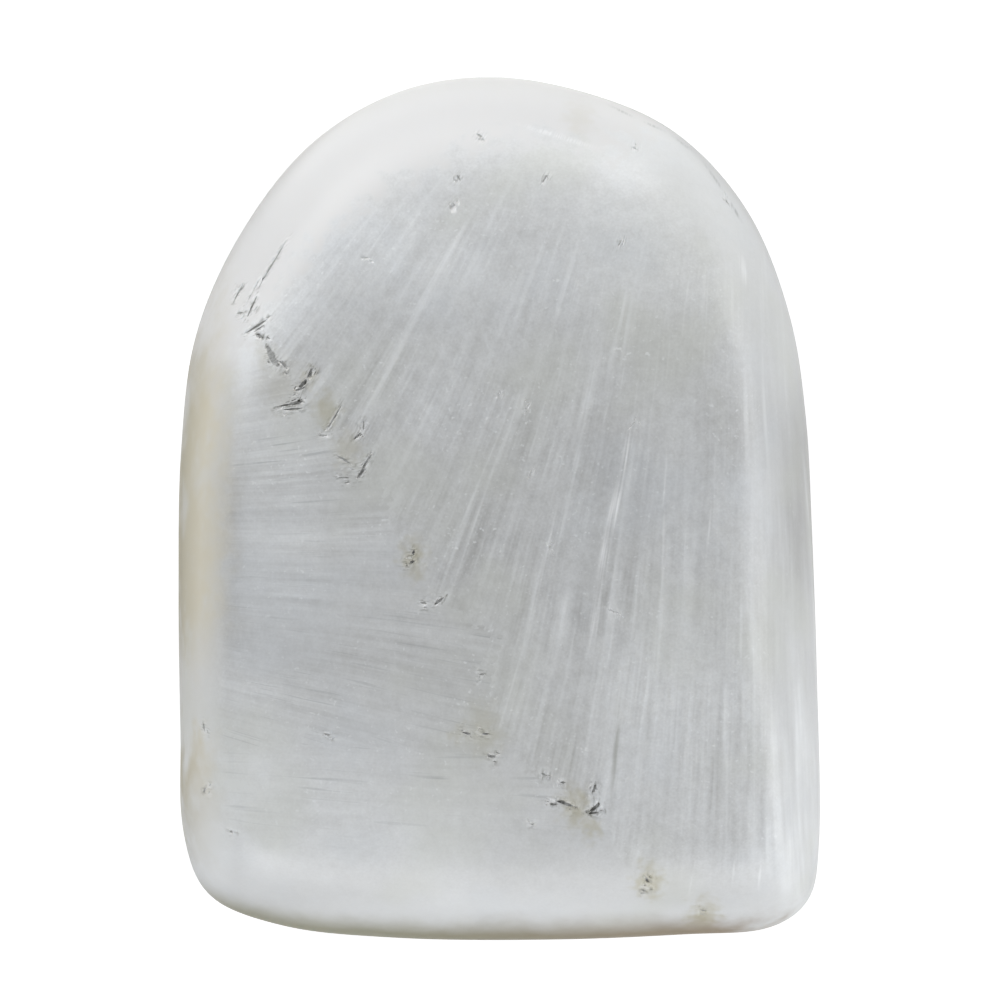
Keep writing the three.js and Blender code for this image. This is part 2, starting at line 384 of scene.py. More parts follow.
# The tree: each gap drops on to the stone, splinters into smaller ones round it, and is cut out of
# the skin as a thin lens that lies along the surface.
TEARING = {
    "Splinters": 3,
    "Splinter spread": 0.38 * MM,
    "Depth over width": 0.9,
    "Smallest splinter": 0.12,
    "Largest splinter": 0.50,
    "Dents along": 3.5,
    "Dent depth": 0.9,
    "Bruise reach": 0.5 * MM,
    "Seed": 7,
}
SHAPES = 4  # of dented lens, picked between at random
WHOLE = ("Splinters", "Seed")
tearing = bpy.data.node_groups.new("torn needles", "GeometryNodeTree")
tearing.interface.new_socket("Geometry", in_out="INPUT", socket_type="NodeSocketGeometry")
tearing.interface.new_socket("Gaps", in_out="INPUT", socket_type="NodeSocketObject")
tearing.interface.new_socket("Finish", in_out="INPUT", socket_type="NodeSocketMaterial")
tearing.interface.new_socket("Geometry", in_out="OUTPUT", socket_type="NodeSocketGeometry")
for name in TEARING:
    kind = "NodeSocketInt" if name in WHOLE else "NodeSocketFloat"
    tearing.interface.new_socket(name, in_out="INPUT", socket_type=kind)
given = tearing.nodes.new("NodeGroupInput").outputs

points = add(tearing, "GeometryNodeObjectInfo", {"Object": given["Gaps"]}).outputs["Geometry"]
fact = {}
for name in facts:
    fact[name] = add(tearing, "GeometryNodeInputNamedAttribute", {"Name": name}, data_type="FLOAT")
copies = {"Geometry": points, "Amount": given["Splinters"]}
copies = add(tearing, "GeometryNodeDuplicateElements", copies, domain="POINT")
later = {2: copies.outputs["Duplicate Index"], 3: 0}
later = add(tearing, "FunctionNodeCompare", later, data_type="INT", operation="GREATER_THAN")

# the dice of each splinter: how far aside, how far along and how much smaller it is
dice = {}
chances = {"aside": (-1, 1), "along": (-1, 1)}
chances["size"] = (given["Smallest splinter"], given["Largest splinter"])
for number, (name, (low, high)) in enumerate(chances.items()):
    seed = add(tearing, "ShaderNodeMath", {0: given["Seed"], 1: number}, operation="ADD")
    roll = {2: low, 3: high, "Seed": seed}
    dice[name] = add(tearing, "FunctionNodeRandomValue", roll, data_type="FLOAT").outputs[1]

spread = given["Splinter spread"]
run = {0: fact["length"], 1: 0.4, 2: spread}
run = add(tearing, "ShaderNodeMath", run, operation="MULTIPLY_ADD")
along = add(tearing, "ShaderNodeMath", {0: dice["along"], 1: run}, operation="MULTIPLY")
aside = add(tearing, "ShaderNodeMath", {0: dice["aside"], 1: spread}, operation="MULTIPLY")
step = add(tearing, "ShaderNodeCombineXYZ", {"X": along, "Y": aside})
step = {"Vector": step, "Angle": fact["turn"]}
step = add(tearing, "ShaderNodeVectorRotate", step, rotation_type="Z_AXIS")
splinters = {"Geometry": copies.outputs["Geometry"], "Selection": later, "Offset": step}
splinters = add(tearing, "GeometryNodeSetPosition", splinters)

down = {"Target Geometry": given["Geometry"], "Ray Direction": (0, 0, -1), "Ray Length": 1}
down["Source Position"] = add(tearing, "GeometryNodeInputPosition")
down = add(tearing, "GeometryNodeRaycast", down).outputs
lean = {"Geometry": splinters, "Name": "lean", "Value": down["Hit Normal"]}
as_normal = {"data_type": "FLOAT_VECTOR", "domain": "POINT"}
lean = add(tearing, "GeometryNodeStoreNamedAttribute", lean, **as_normal)
landed = {"Geometry": lean, "Position": down["Hit Position"]}
landed = add(tearing, "GeometryNodeSetPosition", landed)

stored = add(tearing, "GeometryNodeInputNamedAttribute", {"Name": "lean"}, data_type="FLOAT_VECTOR")
turned = add(tearing, "FunctionNodeAxisAngleToRotation", {"Axis": (0, 0, 1), "Angle": fact["turn"]})
turned = {"Rotation": turned, "Vector": stored}
turned = add(tearing, "FunctionNodeAlignRotationToVector", turned, axis="Z")
smaller = {"Switch": later, "False": 1.0, "True": dice["size"]}
smaller = add(tearing, "GeometryNodeSwitch", smaller, input_type="FLOAT")
long = add(tearing, "ShaderNodeMath", {0: fact["length"], 1: smaller}, operation="MULTIPLY")
wide = add(tearing, "ShaderNodeMath", {0: fact["width"], 1: smaller}, operation="MULTIPLY")
deep = {0: wide, 1: given["Depth over width"]}
deep = add(tearing, "ShaderNodeMath", deep, operation="MULTIPLY")
lens_size = add(tearing, "ShaderNodeCombineXYZ", {"X": long, "Y": wide, "Z": deep})

# needles break off unevenly, so the lenses are dented
shapes = add(tearing, "GeometryNodeGeometryToInstance")
for number in range(SHAPES):
    lens = add(tearing, "GeometryNodeMeshIcoSphere", {"Radius": 0.5, "Subdivisions": 2})
    dent = {"W": 10 * number, "Scale": given["Dents along"], "Detail": 1}
    dent = add(tearing, "ShaderNodeTexNoise", dent, noise_dimensions="4D").outputs["Color"]
    dent = add(tearing, "ShaderNodeVectorMath", {0: dent, 1: (0.5, 0.5, 0.5)}, operation="SUBTRACT")
    dent = {0: dent, "Scale": given["Dent depth"]}
    dent = add(tearing, "ShaderNodeVectorMath", dent, operation="SCALE")
    lens = add(tearing, "GeometryNodeSetPosition", {"Geometry": lens, "Offset": dent})
    tearing.links.new(lens.outputs[0], shapes.inputs[0])
seed = add(tearing, "ShaderNodeMath", {0: given["Seed"], 1: len(chances)}, operation="ADD")
pick = {4: 0, 5: SHAPES - 1, "Seed": seed}
pick = add(tearing, "FunctionNodeRandomValue", pick, data_type="INT").outputs[2]
lenses = {"Points": landed, "Instance": shapes, "Pick Instance": True, "Instance Index": pick}
lenses = {**lenses, "Rotation": turned, "Scale": lens_size}
lenses = add(tearing, "GeometryNodeInstanceOnPoints", lenses)

# the old skin is marked before the cut, so that what the cut bares is known after it
old_skin = {"Geometry": given["Geometry"], "Name": "skin", "Value": 1.0}
old_skin = add(tearing, "GeometryNodeStoreNamedAttribute", old_skin, domain="FACE")
cut = {"Mesh 1": old_skin, "Mesh 2": lenses}
cut = add(tearing, "GeometryNodeMeshBoolean", cut, operation="DIFFERENCE", solver="MANIFOLD")
skin_left = add(tearing, "GeometryNodeInputNamedAttribute", {"Name": "skin"}, data_type="FLOAT")
torn = add(tearing, "ShaderNodeMath", {0: 1, 1: skin_left}, operation="SUBTRACT")
nearest = add(tearing, "GeometryNodeSampleNearest", {"Geometry": landed})
dirt_and_shade_there = {"Geometry": landed, "Value": fact["dirt"], "Index": nearest}
dirt_and_shade_there = add(tearing, "GeometryNodeSampleIndex", dirt_and_shade_there, data_type="FLOAT")

# round each gap the skin is bruised
holes = add(tearing, "GeometryNodeRealizeInstances", {"Geometry": lenses})
holes = add(tearing, "GeometryNodeProximity", {"Geometry": holes}, target_element="POINTS")
bruise = {0: holes.outputs["Distance"], 1: 0, 2: given["Bruise reach"], 3: 1, 4: 0}
bruise = add(tearing, "ShaderNodeMapRange", bruise, **SMOOTH)
marks = {"torn": (torn, "FACE"), "dirt": (dirt_and_shade_there, "POINT"), "bruise": (bruise, "POINT")}
for name, (value, domain) in marks.items():
    cut = {"Geometry": cut, "Name": name, "Value": value}
    cut = add(tearing, "GeometryNodeStoreNamedAttribute", cut, data_type="FLOAT", domain=domain)
whole = add(tearing, "GeometryNodeRealizeInstances", {"Geometry": cut})
whole = add(tearing, "GeometryNodeSetMaterial", {"Geometry": whole, "Material": given["Finish"]})
add(tearing, "NodeGroupOutput", {"Geometry": whole})

# The finish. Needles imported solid, some clear and some milky, under a silky polish: they read as
# fine pale streaks that spread from the heart of each spray, smooth where they are cut end on.
SPRAYS = {"right": (18, 57, 0), "left": (-64, -2.4, 0), "low": (-110, -13, 0)}  # hearts, in mm
# Needles lie nearly level under the face, so the pattern changes little with height there. Below
# 14 mm, on the flanks, it changes about as much as it does sideways.
LEVEL, FLANK_LEVEL, FLANK_BELOW = 0.06, 0.9, 14
SPREAD_AT = 60  # mm from a spray's heart, where the widths below hold

# width and run of each size of streak in mm, and how strongly it shows
STREAKS = {
    "band": (3.0, 45, 0.50),
    "bundle": (1.0, 18, 0.68),
    "needle": (0.38, 9, 0.64),
    "hair": (0.18, 5.5, 0.40),
}
# size of each size of mottle in mm, and how strongly it shows
MOTTLE = {"grit": (0.20, 0.28), "cloudlet": (0.60, 0.22), "patch": (1.4, 0.22)}
FLECK = 0.34  # mm, a chip of a needle under the polish
LATER_BY = 0.27  # how much steeper the straight end is where the right spray's streaks are gone
CRUSHED = (0.16, 0.45)  # width and run of the chips in bruised skin, in mm
PAINTED_HIGHLIGHT_WAY = (-0.45, 0.89, 0)  # which way the arch's shoulder faces, where a painted highlight lies

# The line where the right spray meets the others: x, y in mm, from the straight end to the arch
SEAM = [
    (19.0, -33.0), (15.3, -30.0), (10.7, -27.5), (5.9, -21.7), (0.6, -17.6), (-0.5, -14.0),
    (-0.8, -9.5), (-3.6, -7.2), (-6.4, -3.6), (-8.8, 1.2), (-12.1, 5.8), (-16.5, 10.6),
    (-20.1, 16.1), (-24.5, 21.0),
]
SEAM_SPAN = 50  # mm
SEAM_JAG = 4.0  # mm for the whole range of the noise, of which it uses about a third
LOW_SPRAY_BELOW = -17.5  # mm along Y

# Milkier and clearer parts, and painted highlights and shade among them, such as the darker middle
# of the face, the bright band along the straight end's rim and the light and dark lines down the
# left flank: x, y, half width, half length in mm, and how much milkier
CLOUDS_AND_PAINTED_LIGHT = [
    (2.5, -1.5, 13, 12, -0.07), (-15.5, -22.0, 12, 7, 0.20), (13.3, -2.0, 2.6, 16, 0.05),
    (23.0, 2.0, 2.8, 10, -0.38), (-14.5, 14.8, 3.5, 2.5, 0.06), (12.5, 19.0, 8, 7, 0.18),
    (22.5, -22.0, 5, 9, 0.15), (-16.5, 1.0, 4, 11, 0.12), (12.5, -15.0, 6, 10, 0.13),
    (3.0, 17.0, 12, 3, 0.10), (2.0, -30.4, 22, 1.9, 0.16), (4.0, -20.0, 4, 5, -0.06),
    (-19.5, -20.0, 5, 10, 0.17), (-4.5, -25.0, 5, 5, 0.14), (-7.0, 18.5, 6, 4, 0.12),
    (-20.0, 0.0, 1.3, 13, -0.16), (-22.1, 0.0, 0.6, 13, 0.10), (-21.5, -26.5, 2, 4, 0.24),
    (-20.0, 14.0, 2.8, 6, 0.28), (17.8, -17.0, 2, 7, 0.12), (17.5, 6.0, 3.5, 4.5, -0.13),
    (7.5, 4.0, 3, 5, -0.10), (10.0, 26.5, 4, 3, 0.10), (22.5, -27.0, 2.5, 4, 0.15),
]

# Long milky needles that stand out: from x, y to x, y, width in mm, strength
VEINS = [
    (9.9, 6.6, 8.8, 1.4, 0.40, 0.50), (9.1, 2.8, 7.9, -2.6, 0.60, 0.66),
    (8.2, -0.8, 7.3, -6.0, 0.52, 0.56), (7.6, -3.6, 6.6, -11.6, 0.42, 0.32),
    (12.4, 8.0, 11.9, -8.2, 0.16, 0.22), (15.7, 0.6, 15.2, -3.8, 0.16, 0.22),
    (17.8, 19.4, 18.4, 16.1, 0.40, 0.35), (0.4, 28.9, 8.4, 26.4, 0.30, 0.20),
    (14.6, -25.4, 14.0, -29.2, 0.14, 0.30), (17.6, -24.8, 17.2, -28.4, 0.14, 0.28),
    (19.4, -26.0, 19.2, -28.6, 0.16, 0.25), (8.6, 10.0, 6.6, 2.0, 0.12, 0.18),
    (-0.4, 3.0, -3.6, -6.2, 0.14, 0.14), (4.6, 1.8, 2.6, -7.2, 0.14, 0.14),
]
# A fine crease inside the arch's right rim, painted as a grey line of shade, from where it starts
# to where it ends
CREASE_SHADE_LINE = [(7.8, 30.4), (10.4, 29.1), (12.7, 28.1), (15.0, 26.3), (17.0, 23.3), (18.2, 21.1)]
CREASE_SHADE_LOOK = (0.17, 0.55)  # width in mm, strength
DARK_NEEDLE = (9.0, -11.2, 8.2, -24.0, 0.38, 0.30)

# Warm stains, most of them in torn places: x, y, radius in mm, strength
STAINS = [
    (-6.3, -3.6, 1.5, 0.55), (-12.7, 7.3, 1.4, 0.46), (-11.2, 4.4, 1.6, 0.30),
    (-1.2, -16.4, 2.2, 0.30), (5.6, -22.0, 1.7, 0.58), (6.8, -23.6, 1.1, 0.45),
    (11.1, -27.6, 1.5, 0.66), (15.2, -30.8, 1.8, 0.70), (-14.0, 9.6, 1.0, 0.35),
    (-17.2, 11.2, 1.3, 0.25), (-3.0, -16.6, 1.0, 0.25), (6.0, 29.0, 1.9, 0.16),
    (-20.6, 9.6, 1.8, 0.20), (-16.0, 9.2, 2.8, 0.20), (14.0, 21.0, 11, 0.09),
]
CREAM_AND_SHADE_TINTS = ("#ccc6b2", "#9f9778")  # of the left flank, over its rounding, and darker with painted shade at its widest
CREAM_GAP = -13.5  # mm along Y, where a band of white crosses the cream
BROWN_END_SHADE_MOST = 0.95  # its share where it is whole
BROWN_END_SHADE_TINTS = ("#7f7d62", "#7a6440")  # on the left and on the right of the straight end
# Where patches of colour end: the axis, and how far the limit wanders in mm for the whole range of
# a fine and of a coarse noise, of which each uses about a third
WANDER = {
    "worn_below": ("Z", 5, 10),
    "cream_beyond": ("X", 3, 0),
    "cream_along": ("Y", 7, -14),
    "rind_below": ("Z", 0.6, 2),
    "rind_left_of": ("X", 5, 8),
}

scolecite = bpy.data.materials.new("scolecite, silky polish")
scolecite.use_nodes = True
silk = scolecite.node_tree
shader = silk.nodes["Principled BSDF"]
in_mm = {0: add(silk, "ShaderNodeTexCoord").outputs["Object"], "Scale": 1 / MM}
in_mm = add(silk, "ShaderNodeVectorMath", in_mm, operation="SCALE")
spot = add(silk, "ShaderNodeSeparateXYZ", {0: in_mm}).outputs

# no patch of colour has a clean edge: where it ends is read from a place that wanders
fray = add(silk, "ShaderNodeTexNoise", {"Vector": in_mm, "Scale": 1 / 1.4, "Detail": 3})
fray_height = add(silk, "ShaderNodeMath", {0: fray, 1: 0.5}, operation="SUBTRACT")
patchy = add(silk, "ShaderNodeTexNoise", {"Vector": in_mm, "Scale": 1 / 5, "Detail": 3})
patchy_height = add(silk, "ShaderNodeMath", {0: patchy, 1: 0.5}, operation="SUBTRACT")
wandering = {}
for name, (axis, fine, coarse) in WANDER.items():
    place = {0: fray_height, 1: fine, 2: spot[axis]}
    place = add(silk, "ShaderNodeMath", place, operation="MULTIPLY_ADD")
    place = {0: patchy_height, 1: coarse, 2: place}
    wandering[name] = add(silk, "ShaderNodeMath", place, operation="MULTIPLY_ADD")

# needles bend a little, over about a fingertip's width
sway = add(silk, "ShaderNodeTexNoise", {"Vector": in_mm, "Scale": 1 / 14, "Detail": 0})
sway = {0: sway.outputs["Color"], 1: (0.5, 0.5, 0.5)}
sway = add(silk, "ShaderNodeVectorMath", sway, operation="SUBTRACT")
level = {0: in_mm, 1: (1, 1, LEVEL)}
level = add(silk, "ShaderNodeVectorMath", level, operation="MULTIPLY")
down = add(silk, "ShaderNodeMath", {0: FLANK_BELOW, 1: spot["Z"]}, operation="SUBTRACT")
down = add(silk, "ShaderNodeMath", {0: down, 1: 0}, operation="MAXIMUM")
down = add(silk, "ShaderNodeMath", {0: down, 1: -FLANK_LEVEL}, operation="MULTIPLY")
down = add(silk, "ShaderNodeCombineXYZ", {"Z": down})
level = add(silk, "ShaderNodeVectorMath", {0: level, 1: down}, operation="ADD")
bent = {0: sway, 1: (1.0, 1.0, 0), 2: level}
bent = add(silk, "ShaderNodeVectorMath", bent, operation="MULTIPLY_ADD")

headings, distances = {}, {}
for name, heart in SPRAYS.items():
    away = add(silk, "ShaderNodeVectorMath", {0: bent, 1: heart}, operation="SUBTRACT")
    far = add(silk, "ShaderNodeVectorMath", {0: away}, operation="LENGTH")
    distances[name] = far.outputs["Value"]
    headings[name] = add(silk, "ShaderNodeVectorMath", {0: away}, operation="NORMALIZE")

# which spray: the seam, made jagged by the ends of needles from both sides
jags = {}
for name, width in {"right": 0.55, "left": 0.5}.items():
    ends = {"Vector": headings[name], "Scale": SPREAD_AT / width, "Detail": 1}
    jags[name] = add(silk, "ShaderNodeTexNoise", ends)
up_seam = {0: spot["Y"], 1: 1 / (2 * SEAM_SPAN), 2: 0.5}
up_seam = add(silk, "ShaderNodeMath", up_seam, operation="MULTIPLY_ADD")
seam = add(silk, "ShaderNodeFloatCurve", {"Value": up_seam})
line = seam.mapping.curves[0].points
for x, y in SEAM:
    line.new(y / (2 * SEAM_SPAN) + 0.5, x / SEAM_SPAN + 0.5)
line.remove(line[0])
line.remove(line[len(line) - 1])
seam.mapping.update()
seam = {0: seam, 1: -SEAM_SPAN, 2: SEAM_SPAN / 2}
seam = add(silk, "ShaderNodeMath", seam, operation="MULTIPLY_ADD")
past = add(silk, "ShaderNodeMath", {0: spot["X"], 1: seam}, operation="ADD")
jag = add(silk, "ShaderNodeMath", {0: jags["right"], 1: jags["left"]}, operation="SUBTRACT")
past = {0: jag, 1: SEAM_JAG, 2: past}
past = add(silk, "ShaderNodeMath", past, operation="MULTIPLY_ADD")
on_right = add(silk, "ShaderNodeMath", {0: past, 1: 0}, operation="GREATER_THAN")
low_edge = {0: jags["left"], 1: SEAM_JAG, 2: LOW_SPRAY_BELOW - SEAM_JAG / 2}
low_edge = add(silk, "ShaderNodeMath", low_edge, operation="MULTIPLY_ADD")
on_low = add(silk, "ShaderNodeMath", {0: spot["Y"], 1: low_edge}, operation="LESS_THAN")

heading, distance = headings["left"], distances["left"]
for name, share in {"low": on_low, "right": on_right}.items():
    heading = {0: share, 4: heading, 5: headings[name]}
    heading = add(silk, "ShaderNodeMix", heading, data_type="VECTOR").outputs[1]
    distance = add(silk, "ShaderNodeMix", {0: share, 2: distance, 3: distances[name]})

streaks = {}
across = add(silk, "ShaderNodeVectorMath", {0: heading, "Scale": SPREAD_AT}, operation="SCALE")
for name, (width, run, _) in STREAKS.items():
    drawn_out = {0: distance, 1: width / run}
    drawn_out = add(silk, "ShaderNodeMath", drawn_out, operation="MULTIPLY")
    grain = {"Vector": across, "W": drawn_out, "Scale": 1 / width, "Detail": 1}
    streaks[name] = add(silk, "ShaderNodeTexNoise", grain, noise_dimensions="4D").outputs[0]

# cut end on, needles show no streaks
normal = add(silk, "ShaderNodeNewGeometry").outputs["Normal"]
facing = {0: normal, 1: heading}
facing = add(silk, "ShaderNodeVectorMath", facing, operation="DOT_PRODUCT").outputs["Value"]
facing = add(silk, "ShaderNodeMath", {0: facing}, operation="ABSOLUTE")
lie = add(silk, "ShaderNodeSeparateXYZ", {0: normal}).outputs
low_end = add(silk, "ShaderNodeMath", {0: lie["Y"], 1: 0}, operation="LESS_THAN")
later = add(silk, "ShaderNodeMath", {0: on_right, 1: low_end}, operation="MULTIPLY")
side_on = {0: later, 1: -LATER_BY, 2: facing}
side_on = add(silk, "ShaderNodeMath", side_on, operation="MULTIPLY_ADD")
side_on = {0: side_on, 1: 0.28, 2: 0.56, 3: 1, 4: 0.05}
side_on = add(silk, "ShaderNodeMapRange", side_on, **SMOOTH)

# painted highlight: the arch's rounding, from its tip down its left shoulder, where it faces the
# light, has its streaks and mottle taken out of the colour, as a highlight washes them out, and
# steep places show less mottle
painted_highlight = {0: normal, 1: PAINTED_HIGHLIGHT_WAY}
painted_highlight = add(silk, "ShaderNodeVectorMath", painted_highlight, operation="DOT_PRODUCT").outputs["Value"]
painted_highlight = {0: fray_height, 1: 0.35, 2: painted_highlight}
painted_highlight = add(silk, "ShaderNodeMath", painted_highlight, operation="MULTIPLY_ADD")
painted_highlight = {0: painted_highlight, 1: 0.48, 2: 0.60, 3: 0, 4: 1}
painted_highlight = add(silk, "ShaderNodeMapRange", painted_highlight, **SMOOTH)
steep = {0: lie["Z"], 1: 0.9, 2: 0.6, 3: 0, 4: 0.7}
steep = add(silk, "ShaderNodeMapRange", steep, **SMOOTH)
off_the_highlight = add(silk, "ShaderNodeMath", {0: 1, 1: painted_highlight}, operation="SUBTRACT")
grainy = add(silk, "ShaderNodeMath", {0: painted_highlight, 1: steep}, operation="MAXIMUM")
grainy = add(silk, "ShaderNodeMath", {0: 1, 1: grainy}, operation="SUBTRACT")

# painted highlight: the streaks are taken out of the colour on both ends' rounding, least on the
# right of the straight end, as a highlight washes them out there, and they come and go on the face
endwise = {0: later, 1: LATER_BY, 2: lie["Y"]}
endwise = add(silk, "ShaderNodeMath", endwise, operation="MULTIPLY_ADD")
endwise = add(silk, "ShaderNodeMath", {0: endwise}, operation="ABSOLUTE")
endwise = {0: endwise, 1: 0.25, 2: 0.52, 3: 1, 4: 0.10}
endwise = add(silk, "ShaderNodeMapRange", endwise, **SMOOTH)
come_and_go = add(silk, "ShaderNodeMapRange", {0: patchy, 1: 0.38, 2: 0.62, 3: 0.5, 4: 1.3})
shown = 1
for share in (side_on, off_the_highlight, endwise):
    shown = add(silk, "ShaderNodeMath", {0: share, 1: shown}, operation="MULTIPLY")

# streaks are faintest at the arch's right and along the straight end's left half
bold = add(silk, "ShaderNodeMath", {0: spot["X"], 1: 0.6, 2: spot["Y"]}, operation="MULTIPLY_ADD")
bold = {0: bold, 1: 28, 2: -8, 3: 0.14, 4: 0.68}
bold = add(silk, "ShaderNodeMapRange", bold, **SMOOTH)
calm = {0: spot["Y"], 1: -8, 2: -24, 3: 0.56, 4: 0.38}
calm = add(silk, "ShaderNodeMapRange", calm, **SMOOTH)
contrast = add(silk, "ShaderNodeMix", {0: on_right, 2: calm, 3: bold})
for share in (shown, come_and_go):
    contrast = add(silk, "ShaderNodeMath", {0: contrast, 1: share}, operation="MULTIPLY")

# milkiness, with painted highlights and shade: the streaks, a fine mottle and the broad clouds,
# some of them painted light, round a middling white
streaky = 0
for name, (_, _, weight) in STREAKS.items():
    part = add(silk, "ShaderNodeMath", {0: streaks[name], 1: 0.5}, operation="SUBTRACT")
    streaky = {0: part, 1: weight, 2: streaky}
    streaky = add(silk, "ShaderNodeMath", streaky, operation="MULTIPLY_ADD")
mottle = 0.5
mottled = add(silk, "ShaderNodeMapRange", {0: on_right, 1: 0, 2: 1, 3: 0.7, 4: 1})
mottled = add(silk, "ShaderNodeMath", {0: mottled, 1: grainy}, operation="MULTIPLY")
for size, amount in MOTTLE.values():
    grains = add(silk, "ShaderNodeTexNoise", {"Vector": in_mm, "Scale": 1 / size, "Detail": 1})
    grains = add(silk, "ShaderNodeMath", {0: grains, 1: 0.5}, operation="SUBTRACT")
    grains = add(silk, "ShaderNodeMath", {0: grains, 1: mottled}, operation="MULTIPLY")
    mottle = {0: grains, 1: amount, 2: mottle}
    mottle = add(silk, "ShaderNodeMath", mottle, operation="MULTIPLY_ADD")
milk_and_painted_light = {0: streaky, 1: contrast, 2: mottle}
milk_and_painted_light = add(silk, "ShaderNodeMath", milk_and_painted_light, operation="MULTIPLY_ADD")
for x, y, half_x, half_y, amount in CLOUDS_AND_PAINTED_LIGHT:
    off = add(silk, "ShaderNodeVectorMath", {0: bent, 1: (x, y, 0)}, operation="SUBTRACT")
    off = {0: off, 1: (1 / half_x, 1 / half_y, 0)}
    off = add(silk, "ShaderNodeVectorMath", off, operation="MULTIPLY")
    off = add(silk, "ShaderNodeVectorMath", {0: off}, operation="LENGTH").outputs["Value"]
    near = {0: off, 1: 0.2, 2: 1.3, 3: amount, 4: 0}
    near = add(silk, "ShaderNodeMapRange", near, **SMOOTH)
    milk_and_painted_light = add(silk, "ShaderNodeMath", {0: milk_and_painted_light, 1: near}, operation="ADD")
milk_and_painted_light = add(silk, "ShaderNodeMapRange", {0: milk_and_painted_light, 1: 0.1, 2: 0.9, 3: 0, 4: 1})
white = {0: milk_and_painted_light, 6: linear("#acadad"), 7: linear("#e6e9eb")}
white = add(silk, "ShaderNodeMix", white, data_type="RGBA").outputs[2]

# each coat of colour is laid over the white in turn: its share at each place, and its tint
coats = []

# painted highlight: the arch's shoulder is laid over with one even pale grey, down to a ragged line
# under where the stone is widest
under = {0: wandering["worn_below"], 1: 12, 2: 4, 3: 0, 4: 1}
under = add(silk, "ShaderNodeMapRange", under, **SMOOTH)
even = add(silk, "ShaderNodeMapRange", {0: under, 1: 0, 2: 1, 3: 0.75, 4: 0.25})
even = add(silk, "ShaderNodeMath", {0: painted_highlight, 1: even}, operation="MULTIPLY")
coats.append((even, linear("#cfcfcf")))

# clouds of bluish and greenish white
cloud = add(silk, "ShaderNodeTexNoise", {"Vector": in_mm, "Scale": 1 / 9, "Detail": 2})
for low, high, most, tint in ((0.50, 0.72, 0.16, "#c8d0da"), (0.50, 0.30, 0.30, "#c6c9c0")):
    share = {0: cloud, 1: low, 2: high, 3: 0, 4: most}
    share = add(silk, "ShaderNodeMapRange", share, **SMOOTH)
    share = add(silk, "ShaderNodeMath", {0: share, 1: off_the_highlight}, operation="MULTIPLY")
    coats.append((share, linear(tint)))

# on the right the odd needle is bright, on the left the odd one is a fine dark line, and chips of
# needles are white flecks all over the face
on_left = add(silk, "ShaderNodeMath", {0: 1, 1: on_right}, operation="SUBTRACT")
flecks = add(silk, "ShaderNodeTexNoise", {"Vector": in_mm, "Scale": 1 / FLECK, "Detail": 1})
odd = {
    "milky": (streaks["bundle"], 0.58, 0.74, on_right, 0.24, "#eef1f3"),
    "bright": (streaks["needle"], 0.62, 0.76, on_right, 0.14, "#f2f5f7"),
    "dark": (streaks["hair"], 0.60, 0.76, on_left, 0.28, "#84898b"),
    "flecks": (flecks, 0.64, 0.80, grainy, 0.34, "#f2f5f7"),
}
for layer, low, high, where, most, tint in odd.values():
    share = {0: layer, 1: low, 2: high, 3: 0, 4: most}
    share = add(silk, "ShaderNodeMapRange", share, **SMOOTH)
    for part in (where, shown, come_and_go):
        share = add(silk, "ShaderNodeMath", {0: share, 1: part}, operation="MULTIPLY")
    coats.append((share, linear(tint)))

# the veins, the dark needle and the crease's painted shade line are broken up by the needles beside
# them
lines = [(*vein, "#f6f8fa") for vein in VEINS] + [(*DARK_NEEDLE, "#85867c")]
lines += [(*a, *b, *CREASE_SHADE_LOOK, "#9b9fa0") for a, b in zip(CREASE_SHADE_LINE, CREASE_SHADE_LINE[1:])]
for x0, y0, x1, y1, width, strength, tint in lines:
    length = math.hypot(x1 - x0, y1 - y0)
    ahead = ((x1 - x0) / length, (y1 - y0) / length, 0)
    beside = (-ahead[1], ahead[0], 0)
    from_middle = {0: in_mm, 1: ((x0 + x1) / 2, (y0 + y1) / 2, 0)}
    from_middle = add(silk, "ShaderNodeVectorMath", from_middle, operation="SUBTRACT")
    share = strength
    for way, half in ((ahead, length / 2), (beside, width)):
        off = add(silk, "ShaderNodeVectorMath", {0: from_middle, 1: way}, operation="DOT_PRODUCT")
        off = add(silk, "ShaderNodeMath", {0: off.outputs["Value"]}, operation="ABSOLUTE")
        near = {0: off, 1: 0, 2: half, 3: 1, 4: 0}
        near = add(silk, "ShaderNodeMapRange", near, **SMOOTH)
        share = add(silk, "ShaderNodeMath", {0: share, 1: near}, operation="MULTIPLY")
    broken = add(silk, "ShaderNodeMapRange", {0: streaks["hair"], 1: 0.38, 2: 0.62, 3: 0.2, 4: 1.6})
    broken = add(silk, "ShaderNodeMath", {0: broken, 1: share}, operation="MULTIPLY")
    coats.append((broken, linear(tint)))

# stains have frayed edges, and don't run down the flanks
tattered = add(silk, "ShaderNodeTexNoise", {"Vector": in_mm, "Scale": 1 / 0.7, "Detail": 1})
tattered = {0: tattered.outputs["Color"], 1: (0.5, 0.5, 0.5)}
tattered = add(silk, "ShaderNodeVectorMath", tattered, operation="SUBTRACT")
tattered = {0: tattered, 1: (2, 2, 2), 2: in_mm}
tattered = add(silk, "ShaderNodeVectorMath", tattered, operation="MULTIPLY_ADD")
warm = 0
for x, y, size, strength in STAINS:
    off = add(silk, "ShaderNodeVectorMath", {0: tattered, 1: (x, y, 0)}, operation="SUBTRACT")
    off = add(silk, "ShaderNodeVectorMath", {0: off, 1: (1, 0.7, 0)}, operation="MULTIPLY")
    off = add(silk, "ShaderNodeVectorMath", {0: off}, operation="LENGTH").outputs["Value"]
    near = {0: off, 1: 0, 2: size, 3: strength, 4: 0}
    near = add(silk, "ShaderNodeMapRange", near, **SMOOTH)
    warm = add(silk, "ShaderNodeMath", {0: warm, 1: near}, operation="MAXIMUM")
